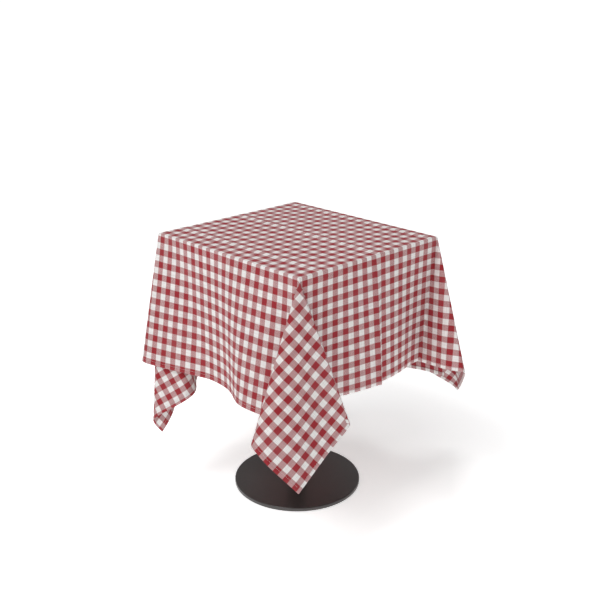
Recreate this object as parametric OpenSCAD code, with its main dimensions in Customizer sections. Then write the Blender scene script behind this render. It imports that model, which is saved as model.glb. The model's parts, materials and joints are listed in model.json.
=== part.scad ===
// A square tablecloth draped over a small pedestal table. Millimetres, +Z up.
// The origin is on the floor, under the middle of the table.
// The cloth is one thin shell: a flat panel on the table top, and a skirt made
// of straight lines that run from the table's edge down to the hem. At each
// corner these lines fan out like the ribs of a fan and fold into a flute.

/* [Table] */
// Size of the table top along X
table_w = 524; // [480:1:560]
// Size of the table top along Y
table_l = 560; // [520:1:600]
// Height of the bare table top above the floor
table_h = 763; // [720:1:790]
// Thickness of the table top, laminates included
top_t = 25; // [22:1:32]
// Radius of the table top's corners in plan
corner_r = 6; // [4:1:12]

/* [Tablecloth] */
// Side of the square cloth
cloth_side = 1370; // [1360:5:1400]
// How far the middle of the cloth lies off the middle of the table, along X and Y
cloth_shift = 35; // [30:1:40]
// Thickness of one layer of cloth
cloth_t = 1.0; // [0.8:0.1:1.2]
// Air between the cloth and the table
cloth_gap = 0.5; // [0.4:0.1:0.8]
// Width of the folded hem
hem_w = 12; // [8:1:16]
// How far the hanging sides lean outwards, in degrees
side_lean = 1.0; // [0.8:0.1:2]
// Half the width of fabric that rounds each fold, in degrees at the corner
fold_round = 3; // [2:1:5]

/* [Pedestal] */
// Diameter of the round base
base_d = 374; // [350:1:400]
// Height of the base's top face above the floor
base_h = 12; // [11.5:0.5:13]
// Gap between the base's rim and the floor
rim_gap = 1.5; // [1.5:0.1:1.8]
// Sheet thickness of the base cover
cover_t = 1.5; // [1.2:0.1:1.6]
// Outer diameter of the column
column_d = 50; // [46:1:54]
// Wall thickness of the column
column_t = 2; // [1.5:0.1:3]

/* [Levelling feet] */
// Distance of each foot from the middle of the base
foot_reach = 150; // [130:1:160]
// Outer diameter of a foot's pad
pad_d = 24; // [22:1:26]
// Height of a foot's pad
pad_h = 3.5; // [3.5:0.1:3.8]
// Diameter of a foot's threaded stud
stud_d = 8; // [7:1:8]

/* [Hidden] */
$fn = 96;
FOOT_ANGLES = [45, 135, 225, 315];

steel_black = [0.13, 0.12, 0.12];
steel_grey = [0.62, 0.63, 0.65];
cloth_red = [0.68, 0.25, 0.28];
hem_red = [0.55, 0.14, 0.18];

// ---- table top, counted down from the bare top face
laminate_t = 0.8;
band_t = 1;
top_low = table_h - top_t;
core_low = top_low + laminate_t;
core_high = table_h - laminate_t;

// ---- spider, under the table top
bar_w = 30;
bar_t = 5;
bar_x_len = 420;
bar_y_len = 460;
bar_y_low = top_low - bar_t;
bar_x_low = bar_y_low - bar_t;
screw_inset = 25;
screw_r = 2.1;
screw_head_r = 4.2;
screw_head_t = 2.4;
screw_bite = 16;
screw_clear = 0.15;

// ---- column and tie rod
plug_flange_t = 4;
plug_spigot = 20;
plug_clear = 0.1;
column_high = bar_x_low - plug_flange_t;
rod_r = 5;
rod_clear = 0.25;
rod_head_r = 13;
rod_head_t = 2.5;
nut_flats = 17;
nut_t = 8;
washer_r = 12;
washer_t = 2;
nut_well_r = 18;
nut_well_h = 15;
rod_high = top_low + washer_t + nut_t + 2;

// ---- base
weight_low = 3;
weight_high = base_h - cover_t;
weight_r = base_d / 2 - cover_t - 0.3;
rim_r = 3;
pad_well_r = pad_d / 2 + 1.5;
pad_well_high = 5.5;
stud_clear = 0.05;
stud_high = 8.9;
stud_low = 1.1;
stud_foot_r = 6;
stud_foot_t = 1.1;
pad_floor = 0.8;
pad_roof = 2.6;
pad_play = 0.15;
rod_head_low = weight_low + 0.5;

// ---- tablecloth, all on its outer face
fold_x = table_w / 2 + cloth_gap + cloth_t;
fold_y = table_l / 2 + cloth_gap + cloth_t;
cloth_top = table_h + cloth_gap + cloth_t;
fold_r = corner_r + cloth_gap + cloth_t;
half_side = cloth_side / 2;
drop_left = half_side - cloth_shift - fold_x;
drop_right = half_side + cloth_shift - fold_x;
drop_front = half_side - cloth_shift - fold_y;
drop_back = half_side + cloth_shift - fold_y;
rows = 8;
side_rails = 6;
corner_rails = 24;

// One corner of the cloth: the signs of its X and Y, the drops on its X and Y
// sides, the fabric angles that its flute takes out of those two sides, and the
// flute's creases as [fabric angle, tilt from the plumb line, compass angle],
// both compass and fabric angle counted from the X side to the Y side.
near_corner = [-1, -1, drop_left, drop_front, 0, 0,
    [[22, 22, -15], [63, 26, 104]]];
left_corner = [-1, 1, drop_left, drop_back, 36, 10,
    [[9, 12, 25], [49, 6, -30], [80, 20, 105]]];
right_corner = [1, -1, drop_right, drop_front, 20, 6,
    [[-2, 27, -52], [18, 7, -60], [39, 22, -14], [75, 20, 98]]];
far_corner = [1, 1, drop_right, drop_back, 0, 0,
    [[24, 20, -12], [66, 20, 102]]];
CORNERS = [right_corner, far_corner, left_corner, near_corner];

function ray(tilt, compass) =
    [sin(tilt) * cos(compass), sin(tilt) * sin(compass), -cos(tilt)];

// The direction a part w of the way from unit vector a to unit vector b
function turn(a, b, w) =
    let (g = acos(min(1, a * b)))
    g < 0.01 ? a : (sin((1 - w) * g) * a + sin(w * g) * b) / sin(g);

// A corner's creases with the two lines where the flat sides begin
function creases(c) = concat(
    [[-c[4], cos(c[4]) * ray(side_lean, 0) + sin(c[4]) * [0, -1, 0]]],
    [for (k = c[6]) [k[0], ray(k[1], k[2])]],
    [[90 + c[5], cos(c[5]) * ray(side_lean, 90) + sin(c[5]) * [-1, 0, 0]]]);

function sharp(list, a) =
    let (last = len(list) - 1, b = min(max(a, list[0][0]), list[last][0]),
         i = max([for (k = [0:last - 1]) list[k][0] <= b ? k : 0]))
    turn(list[i][1], list[i + 1][1],
         (b - list[i][0]) / (list[i + 1][0] - list[i][0]));

function rounded(list, a) =
    let (v = sharp(list, a - fold_round) + 2 * sharp(list, a)
             + sharp(list, a + fold_round))
    v / norm(v);

// Length of fabric from the table's corner to the hem, at a fabric angle
function reach(c, a) =
    min(cos(a) > 0.01 ? c[2] / cos(a) : 1e4, sin(a) > 0.01 ? c[3] / sin(a) : 1e4);

// A corner's lines, each as its top point and its hem point, counted round the
// table counterclockwise, with the fabric's own corner always one of them
function corner_lines(c) =
    let (list = creases(c), low = -c[4], high = 90 + c[5],
         tip = atan2(c[3], c[2]), half = corner_rails / 2,
         angles = concat([for (k = [0:half]) low + (tip - low) * k / half],
                         [for (k = [1:half]) tip + (high - tip) * k / half]),
         order = c[0] * c[1] > 0 ? angles : [for (k = [2 * half:-1:0]) angles[k]])
    [for (a = order)
        let (spin = 90 * (a - low) / (high - low), d = rounded(list, a),
             p = [fold_x - fold_r + fold_r * cos(spin),
                  fold_y - fold_r + fold_r * sin(spin), 0],
             q = [fold_x, fold_y, 0] + reach(c, a) * d)
        [[c[0] * p[0], c[1] * p[1], cloth_top],
         [c[0] * q[0], c[1] * q[1], cloth_top + q[2]]]];

// The flat side between corner k and the next one
function side_lines(k) =
    let (a = corner_lines(CORNERS[k])[corner_rails],
         b = corner_lines(CORNERS[(k + 1) % 4])[0])
    [for (i = [1:side_rails - 1])
        [for (e = [0, 1]) a[e] + (b[e] - a[e]) * i / side_rails]];

LINES = [for (k = [0:3]) each concat(corner_lines(CORNERS[k]), side_lines(k))];
COUNT = len(LINES);

// Point j of line i on the outer face: rows 0 to 8 reach the hem's fold, 9 is the edge
function spot(i, j) =
    let (r = LINES[(i + COUNT) % COUNT], v = r[1] - r[0])
    r[0] + v * (j > rows ? 1 : j / rows * (1 - hem_w / norm(v)));

// The outward normal there; the top row faces up and out together
function outward(i, j) =
    let (along = spot(i + 1, j) - spot(i - 1, j),
         down = j == 0 ? [0, 0, -1] : spot(i, j) - spot(i, 0),
         n = cross(down, along), u = n / norm(n))
    j == 0 ? u + [0, 0, 1] : u;

// A shell that follows the skirt from line a to line b and from row c to row d,
// between two depths under the outer face
module strip(a, b, c, d, depth_1, depth_2) {
    m = d - c + 1;
    n = b - a + 1;
    step = n * m;
    outer = [for (i = [a:b]) for (j = [c:d]) spot(i, j) - depth_1 * outward(i, j)];
    inner = [for (i = [a:b]) for (j = [c:d]) spot(i, j) - depth_2 * outward(i, j)];
    top = [for (i = [0:n - 2]) let (p = i * m, q = p + m)
        each [[p, q + step, q], [p, p + step, q + step]]];
    ends = [for (j = [0:m - 2]) let (p = j, q = j + 1, r = (n - 1) * m + j, s = r + 1)
        each [[p, q, q + step], [p, q + step, p + step],
              [r, s + step, s], [r, r + step, s + step]]];
    polyhedron(concat(outer, inner), concat(wall_faces(n, m, n - 1), top, ends),
               convexity = 10);
}

// The outer and inner walls of a shell and the edge between them, for n lines of
// m points each, where the first spans of them are closed by a next line
function wall_faces(n, m, spans) = concat(
    [for (i = [0:spans - 1]) for (j = [0:m - 2])
        let (p = i * m + j, s = (i + 1) % n * m + j, q = p + 1, r = s + 1, step = n * m)
        each [[p, r, q], [p, s, r],
              [p + step, q + step, r + step], [p + step, r + step, s + step]]],
    [for (i = [0:spans - 1])
        let (p = i * m + m - 1, q = (i + 1) % n * m + m - 1, step = n * m)
        each [[p, q, q + step], [p, q + step, p + step]]]);

module tablecloth() {
    m = rows + 2;
    step = COUNT * m;
    outer = [for (i = [0:COUNT - 1]) for (j = [0:rows + 1]) spot(i, j)];
    inner = [for (i = [0:COUNT - 1]) for (j = [0:rows + 1])
        spot(i, j) - cloth_t * outward(i, j)];
    middles = [[0, 0, cloth_top], [0, 0, cloth_top - cloth_t]];
    panel = [for (i = [0:COUNT - 1]) let (p = i * m, q = (i + 1) % COUNT * m)
        each [[2 * step, q, p], [2 * step + 1, p + step, q + step]]];
    color(cloth_red)
    polyhedron(concat(outer, inner, middles),
               concat(wall_faces(COUNT, m, COUNT), panel), convexity = 10);
}

// The hem of one side runs from the fabric's corner in corner k to the next one
module hem(k) {
    lines = COUNT / 4;
    start = k * lines + corner_rails / 2;
    color(hem_red)
    strip(start, start + lines, rows, rows + 1, cloth_t, 2 * cloth_t);
}

// ---- table top

module rounded_sheet(inset) {
    w = table_w / 2 - inset;
    l = table_l / 2 - inset;
    r = corner_r - inset;
    square([2 * w, 2 * (l - r)], center = true);
    square([2 * (w - r), 2 * l], center = true);
    for (x = [-1, 1], y = [-1, 1]) translate([x * (w - r), y * (l - r)]) circle(r);
}

module layer(low, high, inset) {
    translate([0, 0, low]) linear_extrude(high - low) rounded_sheet(inset);
}

module rod(r, low, high) {
    translate([0, 0, low]) cylinder(r = r, h = high - low);
}

// Where the four top screws stand: two through each bar of the spider
screw_x = bar_x_len / 2 - screw_inset;
screw_y = bar_y_len / 2 - screw_inset;
SCREWS = [[screw_x, 0, bar_x_low], [-screw_x, 0, bar_x_low],
          [0, screw_y, bar_y_low], [0, -screw_y, bar_y_low]];

module screw_holes() {
    for (s = SCREWS)
        translate([s[0], s[1], 0])
        rod(screw_r + screw_clear, bar_x_low - 1, core_low + screw_bite + 1);
}

module top_core() {
    color("burlywood") difference() {
        layer(core_low, core_high, band_t);
        rod(nut_well_r, top_low, top_low + nut_well_h);
        screw_holes();
    }
}

module top_laminate() {
    color("gainsboro") layer(core_high, table_h, band_t);
}

module top_backer() {
    color("gray") difference() {
        layer(top_low, core_low, band_t);
        rod(nut_well_r, top_low - 1, core_low + 1);
        screw_holes();
    }
}

module edge_band() {
    color("dimgray") difference() {
        layer(top_low, table_h, 0);
        layer(top_low - 1, table_h + 1, band_t);
    }
}

// ---- spider

module bar(size, low) {
    color(steel_black) difference() {
        translate([-size[0] / 2, -size[1] / 2, low]) cube([size[0], size[1], bar_t]);
        rod(rod_r + rod_clear, low - 1, low + bar_t + 1);
        screw_holes();
    }
}

module spider_bar_x() {
    bar([bar_x_len, bar_w], bar_x_low);
}

module spider_bar_y() {
    bar([bar_w, bar_y_len], bar_y_low);
}

// Two pads fill the step between the lower bar's ends and the table top
module bar_spacers() {
    color("black") difference() {
        for (x = [-screw_x, screw_x]) translate([x, 0, 0]) rod(bar_w / 2, bar_y_low, top_low);
        screw_holes();
    }
}

module top_screws() {
    color(steel_grey)
    for (s = SCREWS) translate([s[0], s[1], 0]) {
        rod(screw_head_r, s[2] - screw_head_t, s[2]);
        rod(screw_r, s[2] - screw_head_t, core_low + screw_bite);
    }
}

// ---- column

module column_tube() {
    color(steel_black) difference() {
        rod(column_d / 2, base_h, column_high);
        rod(column_d / 2 - column_t, base_h - 1, column_high + 1);
    }
}

module plug(spigot_low, spigot_high, flange_low, flange_high) {
    color(steel_grey) difference() {
        union() {
            rod(column_d / 2 - column_t - plug_clear, spigot_low, spigot_high);
            if (flange_high > flange_low) rod(column_d / 2 + 6, flange_low, flange_high);
        }
        rod(rod_r + rod_clear, spigot_low - 1, max(spigot_high, flange_high) + 1);
    }
}

module lower_plug() {
    plug(base_h, base_h + plug_spigot, 0, 0);
}

module upper_plug() {
    plug(column_high - plug_spigot, column_high, column_high, bar_x_low);
}

module tie_rod() {
    color(steel_grey) {
        rod(rod_r, rod_head_low, rod_high);
        rod(rod_head_r, rod_head_low, rod_head_low + rod_head_t);
    }
}

module top_washer() {
    color(steel_grey) difference() {
        rod(washer_r, top_low, top_low + washer_t);
        rod(rod_r + rod_clear, top_low - 1, top_low + washer_t + 1);
    }
}

module top_nut() {
    low = top_low + washer_t;
    color(steel_grey) difference() {
        translate([0, 0, low]) cylinder(d = nut_flats / cos(30), h = nut_t, $fn = 6);
        rod(rod_r + stud_clear, low - 1, low + nut_t + 1);
    }
}

// ---- base

module rod_hole() {
    rod(rod_r + rod_clear, 0, base_h + 1);
}

// Pressed steel: a flat disc with a rounded shoulder and a turned-down rim
module base_cover() {
    r = base_d / 2;
    color(steel_black) difference() {
        rotate_extrude() difference() {
            union() {
                translate([0, rim_gap]) square([r, base_h - rim_r - rim_gap]);
                shoulder(r);
            }
            translate([-1, rim_gap - 1])
                square([r - cover_t + 1, base_h - cover_t - rim_gap + 1]);
        }
        rod_hole();
    }
}

module shoulder(r) {
    translate([0, base_h - rim_r]) square([r - rim_r, rim_r]);
    translate([r - rim_r, base_h - rim_r]) intersection() {
        circle(rim_r);
        square(rim_r);
    }
}

module at_feet(list) {
    for (a = list) rotate(a) translate([foot_reach, 0, 0]) children();
}

module base_weight() {
    color("dimgray") difference() {
        rod(weight_r, weight_low, weight_high);
        rod_hole();
        rod(rod_head_r + 2, weight_low - 1, rod_head_low + rod_head_t);
        at_feet(FOOT_ANGLES) {
            rod(pad_well_r, weight_low - 1, pad_well_high);
            rod(stud_d / 2 + stud_clear, weight_low, weight_high + 1);
        }
    }
}

// A swivelling pad holds the stud's foot in a closed pocket
module foot_pad(n) {
    color("black") at_feet([FOOT_ANGLES[n - 1]]) difference() {
        rod(pad_d / 2, 0, pad_h);
        rod(stud_d / 2 + stud_clear, pad_roof - 1, pad_h + 1);
        rod(stud_foot_r + pad_play, pad_floor, pad_roof);
    }
}

module foot_stud(n) {
    color(steel_grey) at_feet([FOOT_ANGLES[n - 1]]) {
        rod(stud_d / 2, stud_low, stud_high);
        rod(stud_foot_r, stud_low, stud_low + stud_foot_t);
    }
}

base_cover();
base_weight();
foot_pad(1);  // foot_pad_1
foot_pad(2);  // foot_pad_2
foot_pad(3);  // foot_pad_3
foot_pad(4);  // foot_pad_4
foot_stud(1);  // foot_stud_1
foot_stud(2);  // foot_stud_2
foot_stud(3);  // foot_stud_3
foot_stud(4);  // foot_stud_4
column_tube();
lower_plug();
upper_plug();
tie_rod();
top_washer();
top_nut();
spider_bar_x();
spider_bar_y();
bar_spacers();
top_screws();
top_core();
top_laminate();
top_backer();
edge_band();
tablecloth();
hem(2);  // hem_left
hem(0);  // hem_right
hem(3);  // hem_front
hem(1);  // hem_back
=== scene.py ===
"""A gingham tablecloth on a small pedestal table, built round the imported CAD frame. Metres, +Z up."""
import json
import math

import bpy
import numpy as np
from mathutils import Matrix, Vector


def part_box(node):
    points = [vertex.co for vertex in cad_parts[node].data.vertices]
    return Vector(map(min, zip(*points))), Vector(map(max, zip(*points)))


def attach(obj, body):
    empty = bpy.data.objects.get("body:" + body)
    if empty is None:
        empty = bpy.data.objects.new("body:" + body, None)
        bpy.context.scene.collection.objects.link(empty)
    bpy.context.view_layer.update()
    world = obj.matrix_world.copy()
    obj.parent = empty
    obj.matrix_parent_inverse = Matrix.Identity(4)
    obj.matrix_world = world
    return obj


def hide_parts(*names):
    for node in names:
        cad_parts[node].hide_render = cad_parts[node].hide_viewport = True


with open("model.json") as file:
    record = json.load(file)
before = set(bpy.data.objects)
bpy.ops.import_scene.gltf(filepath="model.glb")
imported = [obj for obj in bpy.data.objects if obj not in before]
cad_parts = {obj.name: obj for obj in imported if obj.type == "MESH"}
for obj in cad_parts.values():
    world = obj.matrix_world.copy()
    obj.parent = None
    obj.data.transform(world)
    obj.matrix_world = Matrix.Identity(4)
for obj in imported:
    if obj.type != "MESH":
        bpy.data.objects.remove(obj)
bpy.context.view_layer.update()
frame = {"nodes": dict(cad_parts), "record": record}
NODES = frame["nodes"]

# ---- the frame: the table's edges and the cloth's cut
table_low, table_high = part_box("edge_band")
EDGE_X = table_high[0]
EDGE_Y = table_high[1]
TABLE_TOP = table_high[2]
CUT = 1.37                       # side of the square cloth
LOW_U = -0.641                   # the cloth's own coordinates match X and Y on the table top;
LOW_V = -0.6475                  # u runs from LOW_U to HIGH_U and v from LOW_V to HIGH_V
HIGH_U = LOW_U + CUT
HIGH_V = LOW_V + CUT
CLOTH_T = 0.0006                 # thickness of the woven fabric
HEM_W = 0.012                    # width of the folded hem
AIR = 0.0014                     # between the table and the cloth's outer face
EDGE_ROUND = 0.001               # radius that the fabric takes over the table's edge
CHECK_U = 0.0353                 # one repeat of the checks along the cloth's u
CHECK_V = 0.0330                 # and along v


# ---------------------------------------------------------------- camera, light, floor

WORLD_LIGHT = 0.33               # the world's strength as a light
WORLD_SEEN = 1.05                # and as the background that the camera sees
FLOOR_HALF = 12.0                # half the floor's side
# The floor's glow is weakest round a spot behind and to the right of the base: this is a painted shadow.
PAINTED_SHADOW_SPOT = (0.45, 0.05, 0)       # the floor glows least here, behind and to the right of the base,
DIM_NEAR = 0.10                  # up to this distance,
DIM_FAR = 0.85                   # and fully from this distance on
GLOW_LOW = 0.36
GLOW_FULL = 0.75


def make_camera():
    """The photo's viewpoint, fitted to the table top's four corners and the round base."""
    data = bpy.data.cameras.new("camera")
    data.sensor_width = 36
    data.lens = 57.42
    cam = bpy.data.objects.new("camera", data)
    cam.location = (-1.768, -1.839, 1.474)
    cam.rotation_euler = (math.radians(90 - 19.46), 0, math.radians(-44.06))
    bpy.context.scene.collection.objects.link(cam)
    bpy.context.scene.camera = cam


def make_light():
    """Two soft lamps from above, a weak one from the camera's side and a pale world."""
    world = bpy.data.worlds.new("studio")
    world.use_nodes = True
    back = world.node_tree.nodes["Background"]
    back.inputs["Color"].default_value = (1.0, 1.0, 1.0, 1)
    seen = world.node_tree.nodes.new("ShaderNodeLightPath").outputs["Is Camera Ray"]
    level = world.node_tree.nodes.new("ShaderNodeMapRange")
    level.inputs["To Min"].default_value = WORLD_LIGHT
    level.inputs["To Max"].default_value = WORLD_SEEN
    world.node_tree.links.new(seen, level.inputs[0])
    world.node_tree.links.new(level.outputs[0], back.inputs["Strength"])
    bpy.context.scene.world = world
    for name, place, target, size, power in (
            ("key", (-2.45, -0.15, 4.1), (0, 0, 0.5), 1.3, 59),
            ("overhead", (0.3, 0.3, 4.2), (0, 0, 0.7), 1.6, 34),
            ("fill", (-3.4, -2.2, 1.2), (0, 0, 0.5), 2.4, 4)):
        data = bpy.data.lights.new(name, "AREA")
        data.shape = "SQUARE"
        data.size = size
        data.energy = power
        lamp = bpy.data.objects.new(name, data)
        lamp.location = place
        aim = Vector(target) - Vector(place)
        lamp.rotation_euler = aim.to_track_quat("-Z", "Y").to_euler()
        bpy.context.scene.collection.objects.link(lamp)
    view = bpy.context.scene.view_settings
    view.view_transform = "Standard"
    view.look = "None"


def make_floor():
    """A white floor whose glow is weaker round a spot behind and to the right of the base: a painted
    shadow that deepens the cast shadow there.
    """
    half = FLOOR_HALF
    mesh = bpy.data.meshes.new("floor")
    mesh.from_pydata([(-half, -half, 0), (half, -half, 0), (half, half, 0), (-half, half, 0)],
                     [], [(0, 1, 2, 3)])
    floor = bpy.data.objects.new("floor", mesh)
    bpy.context.scene.collection.objects.link(floor)
    mat = bpy.data.materials.new("floor_white")
    mat.use_nodes = True
    bsdf = mat.node_tree.nodes["Principled BSDF"]
    bsdf.inputs["Base Color"].default_value = (0.93, 0.93, 0.93, 1)
    bsdf.inputs["Roughness"].default_value = 0.9
    bsdf.inputs["Specular IOR Level"].default_value = 0.1
    bsdf.inputs["Emission Color"].default_value = (1, 1, 1, 1)
    nodes = mat.node_tree.nodes
    # The glow fades near the spot behind the base: painted shadow on the floor.
    away = nodes.new("ShaderNodeVectorMath")
    away.operation = "DISTANCE"
    away.inputs[1].default_value = PAINTED_SHADOW_SPOT
    glow = nodes.new("ShaderNodeMapRange")
    for socket, value in zip(glow.inputs[1:5], (DIM_NEAR, DIM_FAR, GLOW_LOW, GLOW_FULL)):
        socket.default_value = value
    links = mat.node_tree.links
    links.new(nodes.new("ShaderNodeTexCoord").outputs["Object"], away.inputs[0])
    links.new(away.outputs["Value"], glow.inputs[0])
    links.new(glow.outputs[0], bsdf.inputs["Emission Strength"])
    mesh.materials.append(mat)


# ---------------------------------------------------------------- node helper

class Nodes:
    """Short calls that add and link shader nodes of one material."""

    def __init__(self, name):
        self.mat = bpy.data.materials.new(name)
        self.mat.use_nodes = True
        self.tree = self.mat.node_tree
        self.bsdf = self.tree.nodes["Principled BSDF"]

    def add(self, kind, **settings):
        node = self.tree.nodes.new(kind)
        for key, value in settings.items():
            setattr(node, key, value)
        return node

    def put(self, socket, value):
        if hasattr(value, "is_output"):
            self.tree.links.new(value, socket)
        else:
            socket.default_value = value

    def math(self, operation, a, b=0.0, c=0.0, clamp=False):
        node = self.add("ShaderNodeMath", operation=operation, use_clamp=clamp)
        for socket, value in zip(node.inputs, (a, b, c)):
            self.put(socket, value)
        return node.outputs[0]

    def mix(self, factor, a, b, blend="MIX"):
        node = self.add("ShaderNodeMix", data_type="RGBA", blend_type=blend)
        self.put(node.inputs[0], factor)
        self.put(node.inputs[6], a)
        self.put(node.inputs[7], b)
        return node.outputs[2]

    def noise(self, vector, scale, detail=3.0, rough=0.5):
        node = self.add("ShaderNodeTexNoise")
        self.put(node.inputs["Vector"], vector)
        self.put(node.inputs["Scale"], scale)
        self.put(node.inputs["Detail"], detail)
        self.put(node.inputs["Roughness"], rough)
        return node.outputs["Fac"]

    def stretched(self, vector, scale):
        node = self.add("ShaderNodeMapping")
        self.put(node.inputs["Vector"], vector)
        node.inputs["Scale"].default_value = scale
        return node.outputs[0]

    def ramp(self, value, low, high):
        node = self.add("ShaderNodeMapRange", interpolation_type="SMOOTHSTEP")
        self.put(node.inputs[0], value)
        node.inputs[1].default_value = low
        node.inputs[2].default_value = high
        return node.outputs[0]

    def bump(self, height, distance, strength=1.0, normal=None):
        node = self.add("ShaderNodeBump")
        self.put(node.inputs["Height"], height)
        node.inputs["Distance"].default_value = distance
        node.inputs["Strength"].default_value = strength
        if normal is not None:
            self.put(node.inputs["Normal"], normal)
        return node.outputs[0]

    def surface(self, color, roughness, normal=None, **fixed):
        self.put(self.bsdf.inputs["Base Color"], color)
        self.put(self.bsdf.inputs["Roughness"], roughness)
        if normal is not None:
            self.put(self.bsdf.inputs["Normal"], normal)
        for key, value in fixed.items():
            self.bsdf.inputs[key.replace("_", " ")].default_value = value
        return self.mat

    def object_point(self):
        return self.add("ShaderNodeTexCoord").outputs["Object"]


# ---------------------------------------------------------------- materials

RED = (0.335, 0.019, 0.028, 1)
WHITE = (0.86, 0.835, 0.82, 1)
YARN = 0.0011                    # pitch of the drawn yarns
SHOW = 0.30                      # how far one yarn crossing leans to its own colour
FIRST_U = -0.0097                # where the checks start, measured from the low hems
FIRST_V = 0.0010
BAND_OUT = 0.272                 # a red band fades between these shares of a repeat,
BAND_IN = 0.228                  # measured from the band's middle
MIXED_RED = 0.56                 # power that makes a crossing of red and white look redder
WANDER = 0.0012                  # how far the yarns wander sideways


def gingham():
    """Plain weave of red and white yarns, in bands both ways, drawn in the fabric's own metres."""
    n = Nodes("gingham_cotton")
    uv = n.add("ShaderNodeUVMap", uv_map="fabric").outputs[0]
    part = n.add("ShaderNodeSeparateXYZ")
    n.put(part.inputs[0], uv)
    drift = n.math("MULTIPLY_ADD", n.noise(uv, 60, 2), WANDER, -WANDER / 2)
    u = n.math("ADD", part.outputs[0], drift)
    v = n.math("SUBTRACT", part.outputs[1], drift)

    def band(along, repeat, start):
        turns = n.math("FRACT", n.math("DIVIDE", n.math("SUBTRACT", along, start), repeat))
        middle = n.math("ABSOLUTE", n.math("SUBTRACT", turns, 0.5))
        return n.ramp(middle, BAND_OUT, BAND_IN)

    red_u = band(u, CHECK_U, LOW_U + FIRST_U)
    red_v = band(v, CHECK_V, LOW_V + FIRST_V)
    wave_u = n.math("SINE", n.math("MULTIPLY", u, math.pi / YARN))
    wave_v = n.math("SINE", n.math("MULTIPLY", v, math.pi / YARN))
    over = n.math("MULTIPLY", wave_u, wave_v)
    lean = n.math("MULTIPLY_ADD", n.math("MULTIPLY", over, 2.5), SHOW / 2, 0.5, clamp=True)
    red_here = n.math("ADD", n.math("MULTIPLY", red_u, n.math("SUBTRACT", 1.0, lean)),
                      n.math("MULTIPLY", red_v, lean))
    cloth = n.mix(n.math("POWER", red_here, MIXED_RED), WHITE, RED)
    slub_u = n.noise(n.stretched(uv, (520, 16, 1)), 1.0, 3)
    slub_v = n.noise(n.stretched(uv, (16, 520, 1)), 1.0, 3)
    slub = n.math("ADD", slub_u, slub_v)
    shade = n.math("MULTIPLY_ADD", slub, 0.46, 0.50)
    tone = n.add("ShaderNodeCombineColor")
    for socket in tone.inputs[:3]:
        n.put(socket, shade)
    cloth = n.mix(1.0, cloth, tone.outputs[0], "MULTIPLY")
    broad = n.noise(uv, 9, 3)
    cloth = n.mix(n.ramp(broad, 0.35, 0.9), cloth, n.mix(0.06, cloth, WHITE))
    crown = n.math("ABSOLUTE", over)
    height = n.math("ADD", n.math("MULTIPLY", crown, 0.6), n.math("MULTIPLY", slub, 0.5))
    fine = n.bump(height, 0.00016, 0.7)
    soft = n.bump(n.noise(uv, 34, 4, 0.55), 0.0016, 0.35, fine)
    rough = n.math("MULTIPLY_ADD", slub, 0.05, 0.84)
    return n.surface(cloth, rough, soft, Specular_IOR_Level=0.25, Sheen_Weight=0.12, Sheen_Roughness=0.5)


def thread():
    """Twisted sewing thread: fine slanting plies along each stitch."""
    n = Nodes("hem_thread")
    point = n.object_point()
    ply = n.noise(n.stretched(point, (900, 900, 1500)), 1.0, 2)
    color = n.mix(ply, (0.62, 0.55, 0.53, 1), (0.86, 0.82, 0.80, 1))
    return n.surface(color, 0.7, n.bump(ply, 0.0001, 0.6), Specular_IOR_Level=0.3)


def coated_steel():
    """Satin black powder coat: a fine orange peel, faint dust and rubbed spots."""
    n = Nodes("black_powder_coat")
    point = n.object_point()
    peel = n.noise(point, 900, 2)
    grain = n.noise(point, 2600, 2)
    broad = n.noise(point, 7, 4)
    dust = n.noise(point, 60, 5, 0.7)
    color = n.mix(n.ramp(broad, 0.3, 0.7), (0.028, 0.0215, 0.0205, 1), (0.037, 0.0290, 0.0278, 1))
    color = n.mix(n.math("MULTIPLY", n.ramp(dust, 0.62, 0.8), 0.15), color, (0.12, 0.11, 0.10, 1))
    rough = n.math("MULTIPLY_ADD", dust, 0.14, 0.24)
    rough = n.math("ADD", rough, n.math("MULTIPLY", grain, 0.06))
    height = n.math("ADD", peel, n.math("MULTIPLY", grain, 0.4))
    return n.surface(color, rough, n.bump(height, 0.0002, 0.35), Specular_IOR_Level=1.0)


def zinc_steel():
    """Bright zinc plating with a fine brushed grain and a faint blue and yellow bloom."""
    n = Nodes("zinc_plate")
    point = n.object_point()
    brush = n.noise(n.stretched(point, (60, 60, 2500)), 1.0, 3)
    bloom = n.noise(point, 55, 3)
    color = n.mix(bloom, (0.52, 0.54, 0.58, 1), (0.62, 0.60, 0.52, 1))
    rough = n.math("MULTIPLY_ADD", brush, 0.2, 0.24)
    return n.surface(color, rough, n.bump(brush, 0.00008, 0.5), Metallic=1.0)


def cast_iron():
    """Rough grey cast iron under the base."""
    n = Nodes("cast_iron")
    point = n.object_point()
    sand = n.noise(point, 420, 5, 0.65)
    rust = n.ramp(n.noise(point, 22, 5, 0.6), 0.6, 0.75)
    color = n.mix(sand, (0.045, 0.044, 0.043, 1), (0.085, 0.083, 0.08, 1))
    color = n.mix(n.math("MULTIPLY", rust, 0.5), color, (0.11, 0.05, 0.025, 1))
    rough = n.math("MULTIPLY_ADD", sand, 0.25, 0.62)
    return n.surface(color, rough, n.bump(sand, 0.0008, 0.7), Metallic=0.3)


def rubber():
    """Black rubber, a little bloomed."""
    n = Nodes("black_rubber")
    point = n.object_point()
    grain = n.noise(point, 800, 3)
    bloom = n.noise(point, 40, 4)
    color = n.mix(n.ramp(bloom, 0.4, 0.8), (0.016, 0.016, 0.016, 1), (0.035, 0.034, 0.033, 1))
    rough = n.math("MULTIPLY_ADD", grain, 0.15, 0.7)
    return n.surface(color, rough, n.bump(grain, 0.0003, 0.4))


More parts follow.
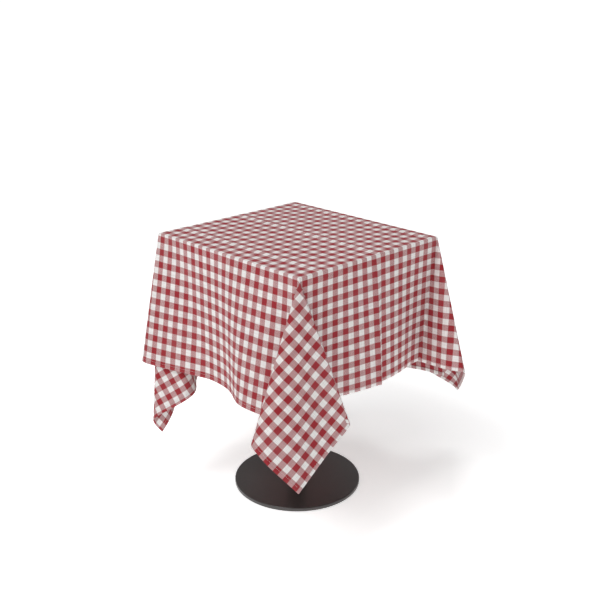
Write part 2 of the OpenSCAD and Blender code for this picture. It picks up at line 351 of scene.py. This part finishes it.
def foot_plastic():
    """Moulded black plastic with scuffs."""
    n = Nodes("foot_plastic")
    point = n.object_point()
    grain = n.noise(point, 1300, 2)
    scuff = n.ramp(n.noise(n.stretched(point, (300, 300, 60)), 1.0, 4, 0.7), 0.6, 0.75)
    color = n.mix(n.math("MULTIPLY", scuff, 0.5), (0.018, 0.018, 0.019, 1), (0.09, 0.088, 0.085, 1))
    rough = n.math("MULTIPLY_ADD", scuff, 0.2, 0.42)
    return n.surface(color, rough, n.bump(grain, 0.0001, 0.4))


def particle_board():
    """Pressed wood chips, seen in the nut's well and at the screw holes."""
    n = Nodes("particle_board")
    point = n.object_point()
    chips = n.add("ShaderNodeTexVoronoi")
    n.put(chips.inputs["Vector"], n.stretched(point, (260, 420, 900)))
    chips.inputs["Scale"].default_value = 1
    fine = n.noise(point, 900, 3)
    color = n.mix(chips.outputs["Color"], (0.34, 0.22, 0.12, 1), (0.58, 0.42, 0.25, 1))
    color = n.mix(n.math("MULTIPLY", fine, 0.3), color, (0.2, 0.12, 0.06, 1))
    height = n.math("ADD", chips.outputs["Distance"], fine)
    return n.surface(color, 0.85, n.bump(height, 0.0006, 0.6), Specular_IOR_Level=0.2)


def laminate():
    """Pale ash melamine: long grain lines with pores."""
    n = Nodes("ash_laminate")
    point = n.object_point()
    bend = n.noise(n.stretched(point, (1.2, 5, 1)), 1.0, 3)
    lines = n.add("ShaderNodeTexWave", wave_type="BANDS", bands_direction="Y")
    shifted = n.add("ShaderNodeVectorMath", operation="ADD")
    n.put(shifted.inputs[0], point)
    spread = n.add("ShaderNodeCombineXYZ")
    n.put(spread.inputs[1], n.math("MULTIPLY", bend, 0.16))
    n.put(shifted.inputs[1], spread.outputs[0])
    n.put(lines.inputs["Vector"], shifted.outputs[0])
    lines.inputs["Scale"].default_value = 26
    lines.inputs["Distortion"].default_value = 2.5
    lines.inputs["Detail"].default_value = 3
    pores = n.ramp(n.noise(n.stretched(point, (30, 900, 1)), 1.0, 2), 0.56, 0.66)
    color = n.mix(lines.outputs["Fac"], (0.60, 0.50, 0.37, 1), (0.70, 0.61, 0.48, 1))
    color = n.mix(n.math("MULTIPLY", pores, 0.35), color, (0.36, 0.26, 0.16, 1))
    rough = n.math("MULTIPLY_ADD", pores, 0.2, 0.36)
    return n.surface(color, rough, n.bump(n.math("SUBTRACT", 1.0, pores), 0.00008, 0.5))


def edge_plastic():
    """Dark edging strip with a fine grain and knocks."""
    n = Nodes("edge_plastic")
    point = n.object_point()
    grain = n.noise(n.stretched(point, (1400, 1400, 200)), 1.0, 2)
    knocks = n.ramp(n.noise(point, 90, 4, 0.7), 0.66, 0.74)
    color = n.mix(n.math("MULTIPLY", knocks, 0.5), (0.022, 0.019, 0.018, 1), (0.10, 0.09, 0.085, 1))
    rough = n.math("MULTIPLY_ADD", grain, 0.15, 0.38)
    return n.surface(color, rough, n.bump(grain, 0.00008, 0.4))


def dress_cad(slots):
    """Every CAD node takes the material of its record slot."""
    for part in frame["record"]["subparts"]:
        node = NODES[part["node"]]
        material = slots[part["material_slot"]]
        if node.data.materials:
            for k in range(len(node.data.materials)):
                node.data.materials[k] = material
        else:
            node.data.materials.append(material)


# ---------------------------------------------------------------- the drape's folds

# A hanging side is straight columns of fabric, t metres long from the table's edge. At w
# along the edge a column stands off the plumb line by (outward, along) metres. The flares are
# (w in metres, outward in centimetres at the hem). They and the creases of the
# three corners in view came from small programs fitted to points seen in the photo, and
# most were rounded.
FALL = 0.3775                    # the two front sides' length, about
LEFT_FLARE = ((-0.2815, 1.5), (-0.25, 3.5), (-0.20, 5.2), (-0.15, 5.8), (-0.11, 5.6),
              (-0.08, 4.2), (-0.05, 2.4), (-0.02, 1.0), (0.01, 0.3), (0.05, 0.0))
LEFT_DRIFT = 0.06                # the left flare moves this far along from the edge to the hem
FRONT_FLARE = ((-0.2635, -1.2), (-0.175, -1.8), (-0.14, -1.5), (-0.105, -0.6), (-0.07, 0.2),
               (-0.034, 0.9), (0.01, 1.6), (0.06, 1.6), (0.107, 1.0), (0.142, 0.2),
               (0.178, -0.6), (0.2635, -0.6))
CENTIMETRE = 100                 # of them to a metre
COLUMN_GAP = 0.0015              # the sides' formulas count from this far outside the table
SWING_WIDE = 0.335               # the swing beside the left corner widens by this times root t
SWING_OUT = 0.56                 # and stands off by this times root t, for each metre into it
SWING_SOFT = 0.0004              # rounds the swing's start
PRESSED = 0.018                  # a pressed crease in the front side,
PRESSED_STEP = 0.014             # about this deep at the hem,
PRESSED_WIDE = 0.008             # this wide,
PRESSED_RIDGE = 0.0035           # with a ridge this high,
PRESSED_FROM = 0.02              # from this far below the edge
RIDGE_FROM = 0.05                # the ridge has its full height from here down
WAVE = 0.012                     # height at the hem of the two back sides' waves


def table_of(pairs, w, soft):
    """Metres at w, from pairs in centimetres, with their corners softened."""
    at = [pair[0] for pair in pairs]
    value = [pair[1] for pair in pairs]
    offsets = (-1, -0.5, 0, 0.5, 1)
    total = 0
    for offset in offsets:
        total = total + np.interp(w + offset * soft, at, value)
    return total / (len(offsets) * CENTIMETRE)


def left_side(w, t):
    """A broad flare that drifts along the side, and a swing outward beside the left corner."""
    out = table_of(LEFT_FLARE, w - LEFT_DRIFT * (1 - t / FALL), 0.016) * t / FALL
    root = np.sqrt(np.maximum(t, 0))
    past = w - EDGE_Y - COLUMN_GAP + SWING_WIDE * root
    past = 0.5 * (past + np.sqrt(past * past + SWING_SOFT * root))
    share = past / np.maximum(SWING_WIDE * root, 0.01)
    return out + SWING_OUT * root * past, -0.032 * t * share ** 2


def front_side(w, t):
    """Shallow waves and one pressed crease, with columns that lean to the right corner."""
    out = table_of(FRONT_FLARE, w, 0.014) * t / FALL
    start = w - PRESSED + PRESSED_WIDE / 2
    step = np.clip(start / PRESSED_WIDE, 0, 1)
    out = out - PRESSED_STEP * step * np.clip((t - PRESSED_FROM) / FALL, 0, 1)
    ridge = np.exp(-(start / PRESSED_WIDE) ** 2)
    out = out + PRESSED_RIDGE * ridge * np.clip(t / RIDGE_FROM, 0, 1)
    return out, t * (0.0515 + 0.0247 * w)


def wave(w, t, turns, start, reach):
    """A wave that is strongest mid-side and grows towards the hem."""
    height = WAVE * np.sin(w * turns + start) * np.clip(1 - np.abs(w) / reach, 0, 1)
    return height * t / FALL


def right_side(w, t):
    """Leans out most at the right corner and least at the back one."""
    half = EDGE_Y + COLUMN_GAP
    share = np.clip((w + half) / (2 * half), 0, 1)
    out = t * (0.21 - 0.16 * share) + wave(w, t, 21, 0.6, 0.27)
    return out, 0.05 * t * (1 - share) ** 3


def back_side(w, t):
    """Plumb at the left corner and leaning out a little at the back one."""
    half = EDGE_X + COLUMN_GAP
    share = np.clip((w + half) / (2 * half), 0, 1)
    return t * 0.04 * share + wave(w, t, 19, 1.0, 0.25), 0 * t


# Each corner's signs of X and Y, the fabric angle that its fold takes from the Y side, the
# directions (X outward, Y outward) of the last columns of its X side and its Y side, and its
# creases as (fabric angle, X outward, Y outward). Angles are in degrees, from X side to Y side.
# In order: the front corner, the left one (fitted, then changed), the right one, and
# the back one, which the photo doesn't show and which was chosen.
CORNERS = (
    (-1, -1, 0, (0.04, 0.0), (-0.045, -0.033),
     ((11.2, 0.19, 0.13), (25.8, 0.372, -0.045), (34.0, 0.335, 0.10), (42.8, 0.20, 0.175),
      (54.6, -0.013, 0.207), (66.6, -0.22, 0.26), (77.5, -0.042, 0.193))),
    (-1, 1, 10, (0.188, -0.032), (0.0, 0.0),
     ((5.5, 0.182, 0.066), (28.5, -0.19, 0.06), (44, 0.047, -0.127), (49.4, 0.105, -0.10),
      (53.6, 0.15, -0.045), (68, 0.055, -0.29), (71.5, -0.02, -0.28),
      (80.5, -0.13, -0.15), (91, -0.31, -0.06))),
    (1, -1, 8, (0.21, -0.05), (0.058, -0.055),
     ((18.8, 0.21, -0.36), (38.2, 0.374, -0.093), (74.2, -0.09, 0.385),
      (81.6, -0.124, 0.247))),
    (1, 1, 0, (0.05, 0.0), (0.0, 0.04),
     ((24, 0.41, -0.14), (66, -0.17, 0.36))),
)


SOFT_STEPS = ((-2.8, 1), (-1.4, 2), (0, 3), (1.4, 2), (2.8, 1))      # degrees and weight
STORED = (-0.185, 0.030, 0.235)  # X of the storage creases that run over the top
STORED_HIGH = 0.0022
STORED_WIDE = 0.008


def ray(x, y):
    """The unit vector with these outward parts that points down."""
    return np.array([x, y, -math.sqrt(1 - x * x - y * y)])


def side_ray(taken, lean):
    """The direction in the Y side's plane that lies a taken angle past its last column."""
    a = math.radians(taken)
    d = ray(*lean) * math.cos(a) - np.array([math.sin(a), 0, 0])
    return d / np.linalg.norm(d)


def turned(a, b, w):
    """Unit vectors w of the way from a to b."""
    g = np.arccos(np.clip((a * b).sum(-1), -1, 1))[..., None]
    s = np.maximum(np.sin(g), 1e-6)
    return (np.sin((1 - w) * g) * a + np.sin(w * g) * b) / s


def corner_rays(corner, angle):
    """Directions of the fabric's straight lines, with each crease rounded over a few degrees."""
    taken, lean_x, lean_y, creases = corner[2:]
    knots = np.array([0] + [c[0] for c in creases] + [90 + taken], float)
    rays = np.array([ray(*lean_x)] + [ray(c[1], c[2]) for c in creases]
                    + [side_ray(taken, lean_y)])
    total = 0
    for offset, weight in SOFT_STEPS:
        a = np.clip(angle + offset, knots[0], knots[-1])
        i = np.clip(np.searchsorted(knots, a, side="right") - 1, 0, len(knots) - 2)
        w = ((a - knots[i]) / (knots[i + 1] - knots[i]))[..., None]
        total = total + weight * turned(rays[i], rays[i + 1], w)
    return total / np.linalg.norm(total, axis=-1, keepdims=True)


def drape(u, v):
    """Where the fabric point u, v lies: on the top, down a side or in a corner's fold."""
    edge_x = EDGE_X + AIR
    edge_y = EDGE_Y + AIR
    top = TABLE_TOP + AIR
    place = np.stack([np.clip(u, -edge_x, edge_x), np.clip(v, -edge_y, edge_y),
                      np.full(u.shape, top)], -1)
    over_x = np.maximum(np.abs(u) - edge_x, 0)
    over_y = np.maximum(np.abs(v) - edge_y, 0)
    for side, here, w, t, axis, sign in (
            (left_side, (u < -edge_x) & (over_y == 0), v, over_x, 0, -1),
            (right_side, (u > edge_x) & (over_y == 0), v, over_x, 0, 1),
            (front_side, (v < -edge_y) & (over_x == 0), u, over_y, 1, -1),
            (back_side, (v > edge_y) & (over_x == 0), u, over_y, 1, 1)):
        out, along = side(w[here], t[here])
        place[here, axis] += sign * out
        place[here, 1 - axis] += along
        place[here, 2] -= np.sqrt(np.maximum(t[here] ** 2 - out ** 2 - along ** 2, 0))
    for corner in CORNERS:
        sign_x, sign_y, taken = corner[:3]
        p = sign_x * u - edge_x
        q = sign_y * v - edge_y
        angle = np.degrees(np.arctan2(q, p))
        inside = (angle >= 0) & (angle <= 90 + taken) & (q > 0)
        reach = np.hypot(p, q)[inside][:, None] * corner_rays(corner, angle[inside])
        place[inside] = np.stack([sign_x * (edge_x + reach[:, 0]),
                                  sign_y * (edge_y + reach[:, 1]), top + reach[:, 2]], -1)
    on_top = over_x + over_y == 0
    for crease in STORED:
        place[..., 2] += STORED_HIGH * np.exp(-((u - crease) / STORED_WIDE) ** 2) * on_top
    return place


def round_edge(p):
    """Rounds the cloth's fold over the table's edge and keeps it off the table."""
    low = np.array([-EDGE_X, -EDGE_Y, table_low[2]]) + EDGE_ROUND
    high = np.array([EDGE_X, EDGE_Y, TABLE_TOP]) - EDGE_ROUND
    need = EDGE_ROUND + AIR
    room = np.array([EDGE_X, EDGE_Y]) - EDGE_ROUND - np.abs(p[..., :2])
    deep = (room.min(-1) > 0) & (p[..., 2] < high[2]) & (p[..., 2] > low[2] - need)
    for axis in (0, 1):
        out_here = deep & (room[..., axis] <= room[..., 1 - axis])
        p[out_here, axis] = np.sign(p[out_here, axis]) * (high[axis] + need)
    core = np.clip(p, low, high)
    out = p - core
    distance = np.linalg.norm(out, axis=-1)
    fold = (p[..., 2] > high[2]) & (np.abs(out[..., :2]).max(-1) > 1e-6) & (distance < 2 * need)
    near = fold | (distance < need)
    core[near] += out[near] * (need / np.maximum(distance[near], 1e-9))[:, None]
    p[near] = core[near]
    return p


def normals_of(grid):
    """Unit normals at the grid's points, on the side of the cloth's outer face."""
    along_u = np.gradient(grid, axis=0)
    along_v = np.gradient(grid, axis=1)
    n = np.cross(along_u, along_v)
    return n / np.maximum(np.linalg.norm(n, axis=-1, keepdims=True), 1e-12)


FOLD_REACH = 0.008               # how far to both sides of the table's edge the lines are close
FOLD_PITCH = 0.0016              # their distance there,
TOP_PITCH = 0.0072               # on the top
DROP_PITCH = 0.0067              # and on the hanging sides


def lines(low, high, edge):
    """Fabric coordinates of the grid's lines, closest where the cloth folds over the edge."""
    steps = []
    for a, b, pitch in ((low, -edge - FOLD_REACH, DROP_PITCH),
                        (-edge - FOLD_REACH, -edge + FOLD_REACH, FOLD_PITCH),
                        (-edge + FOLD_REACH, edge - FOLD_REACH, TOP_PITCH),
                        (edge - FOLD_REACH, edge + FOLD_REACH, FOLD_PITCH),
                        (edge + FOLD_REACH, high, DROP_PITCH)):
        count = int(round((b - a) / pitch))
        steps.append(np.linspace(a, b, count, endpoint=False))
    return np.concatenate(steps + [[high]])


# ---------------------------------------------------------------- meshes

def new_object(name, points, faces, material, uv=None):
    """A smooth mesh object. uv, where it is given, is each point's place in the fabric."""
    mesh = bpy.data.meshes.new(name)
    mesh.from_pydata(points, [], faces)
    mesh.materials.append(material)
    for face in mesh.polygons:
        face.use_smooth = True
    if uv is not None:
        layer = mesh.uv_layers.new(name="fabric")
        corner_point = np.empty(len(mesh.loops), dtype=np.int64)
        mesh.loops.foreach_get("vertex_index", corner_point)
        layer.data.foreach_set("uv", np.asarray(uv, dtype=np.float64)[corner_point].ravel())
    obj = bpy.data.objects.new(name, mesh)
    bpy.context.scene.collection.objects.link(obj)
    return obj


def grid_faces(n, m, first, flip=False):
    """The quads of an n by m grid whose points start at first."""
    faces = []
    for i in range(n - 1):
        for j in range(m - 1):
            a = first + i * m + j
            quad = (a, a + m, a + m + 1, a + 1)
            faces.append(quad[::-1] if flip else quad)
    return faces


def make_cloth(outer, material):
    """One closed sheet: the outer face, the inner face and the edge between them."""
    n, m = outer.shape[:2]
    u, v = np.meshgrid(LINES_U, LINES_V, indexing="ij")
    inner = outer - CLOTH_T * normals_of(outer)
    points = np.concatenate([outer.reshape(-1, 3), inner.reshape(-1, 3)])
    uv = np.stack([u.ravel(), v.ravel()], -1)
    faces = grid_faces(n, m, 0) + grid_faces(n, m, n * m, flip=True)
    index = np.arange(n * m).reshape(n, m)
    rim = np.concatenate([index[0, :-1], index[:-1, -1], index[-1, :0:-1], index[:0:-1, 0]])
    for k in range(len(rim)):
        a = int(rim[k])
        b = int(rim[(k + 1) % len(rim)])
        faces.append((a, b, b + n * m, a + n * m))
    return new_object("gingham_cloth", points.tolist(), faces, material, np.concatenate([uv, uv]))


def spot(grid, normals, u, v, depth):
    """The point of the cloth at fabric place u, v, and depth under its outer face."""
    a = np.interp(u, LINES_U, np.arange(len(LINES_U)))
    b = np.interp(v, LINES_V, np.arange(len(LINES_V)))
    i = np.minimum(a.astype(int), len(LINES_U) - 2)
    j = np.minimum(b.astype(int), len(LINES_V) - 2)
    s = (a - i)[..., None]
    t = (b - j)[..., None]

    def blend(g):
        return ((g[i, j] * (1 - s) + g[i + 1, j] * s) * (1 - t)
                + (g[i, j + 1] * (1 - s) + g[i + 1, j + 1] * s) * t)

    return blend(grid) - np.asarray(depth)[..., None] * blend(normals)


SIDES = (("hem_cloth_left", 0, LOW_U), ("hem_cloth_right", 0, HIGH_U),
         ("hem_cloth_front", 1, LOW_V), ("hem_cloth_back", 1, HIGH_V))


def hem_section():
    """Across a hem: distance in from the edge and depth under the outer face, round the fold."""
    low = CLOTH_T + 0.00005
    high = low + 2 * CLOTH_T
    section = [(0.0002, low), (0.0045, low), (0.0085, low), (HEM_W, low)]
    section += [(HEM_W + 0.0001, (low + high) / 2), (HEM_W - 0.0004, high)]
    section += [(0.0080, high), (0.0042, high), (0.0006, high), (-0.0003, (low + high) / 2)]
    return section


RIPPLE = 0.00012                 # height of the small waves on a hem's inner face
RIPPLE_TURNS = 310               # radians for each metre of hem


def make_hem(name, across, edge, grid, normals, material):
    """The folded strip along one side: a closed tube with flat ends on the cloth's inner face."""
    steps = 2 * grid.shape[0] - 1
    inward = 1 if edge < 0 else -1
    section = hem_section()
    start = LOW_V if across == 0 else LOW_U
    along = np.linspace(start, start + CUT, steps)
    points = []
    uv = []
    for away, depth in section:
        ripple = RIPPLE * np.sin(along * RIPPLE_TURNS) * (1 if depth > 2 * CLOTH_T else 0)
        cross = np.full(steps, edge + inward * away)
        u, v = (cross, along) if across == 0 else (along, cross)
        points.append(spot(grid, normals, u, v, depth + ripple))
        uv.append(np.stack([u, v], -1))
    m = len(section)
    points = np.stack(points, 1).reshape(-1, 3)
    uv = np.stack(uv, 1).reshape(-1, 2)
    faces = []
    outward = (inward > 0) == (across == 0)
    for i in range(steps - 1):
        for j in range(m):
            a = i * m + j
            b = i * m + (j + 1) % m
            quad = (a, b, b + m, a + m)
            faces.append(quad if outward else quad[::-1])
    ends = (tuple(range(m)), tuple(range((steps - 1) * m, steps * m)))
    faces.append(ends[0][::-1] if outward else ends[0])
    faces.append(ends[1] if outward else ends[1][::-1])
    return new_object(name, points.tolist(), faces, material, uv)


STITCH = 0.0030                  # pitch of the hem's stitches
STITCH_IN = 0.0105               # distance of the seam from the edge
SEAM_END = 0.015                 # the seam stops this far from the cloth's corners
THREAD_WIDE = 0.00026            # half width of a stitch
THREAD_HIGH = 0.00022            # and half its height
THREAD_OUT = 0.00012             # height of a stitch's middle over the outer face


def make_stitches(grid, normals, material):
    """One seam of lockstitch round each side: small sunk beads of thread on the outer face."""
    points = []
    faces = []
    ring = 5
    for _, across, edge in SIDES:
        inward = 1 if edge < 0 else -1
        start = LOW_V if across == 0 else LOW_U
        count = int((CUT - 2 * SEAM_END) / STITCH)
        for k in range(count):
            centre = start + SEAM_END + (k + 0.5) * STITCH
            first = len(points)
            for along, radius in ((-0.5, 0.35), (-0.22, 1.0), (0.22, 1.0), (0.5, 0.35)):
                for s in range(ring):
                    a = 2 * math.pi * s / ring
                    side = edge + inward * (STITCH_IN + THREAD_WIDE * radius * math.cos(a))
                    place = centre + along * STITCH * 0.78
                    depth = -THREAD_OUT - THREAD_HIGH * radius * math.sin(a)
                    points.append(((side, place) if across == 0 else (place, side)) + (depth,))
            for r in range(3):
                for s in range(ring):
                    a = first + r * ring + s
                    b = first + r * ring + (s + 1) % ring
                    faces.append((a, b, b + ring, a + ring))
            faces.append(tuple(first + s for s in range(ring))[::-1])
            faces.append(tuple(first + 3 * ring + s for s in range(ring)))
    flat = np.array(points)
    place = spot(grid, normals, flat[:, 0], flat[:, 1], flat[:, 2])
    return new_object("hem_stitching", place.tolist(), faces, material)


# ---------------------------------------------------------------- build

make_camera()
make_light()
make_floor()

cotton = gingham()
steel = coated_steel()
dress_cad({
    "black_steel": steel, "cast_iron": cast_iron(), "zinc_steel": zinc_steel(),
    "rubber": rubber(), "foot_plastic": foot_plastic(), "particle_board": particle_board(),
    "laminate": laminate(), "edge_plastic": edge_plastic(), "gingham_cotton": cotton,
})

LINES_U = lines(LOW_U, HIGH_U, EDGE_X)
LINES_V = lines(LOW_V, HIGH_V, EDGE_Y)
surface = round_edge(drape(*np.meshgrid(LINES_U, LINES_V, indexing="ij")))
surface_normals = normals_of(surface)
cloth = make_cloth(surface, cotton)
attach(cloth, "cloth")
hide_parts("tablecloth")
for hem_name, hem_across, hem_edge in SIDES:
    hem = make_hem(hem_name, hem_across, hem_edge, surface, surface_normals, cotton)
    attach(hem, "cloth")
    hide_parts("hem_" + hem_name.split("_")[2])
stitches = make_stitches(surface, surface_normals, thread())
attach(stitches, "cloth")
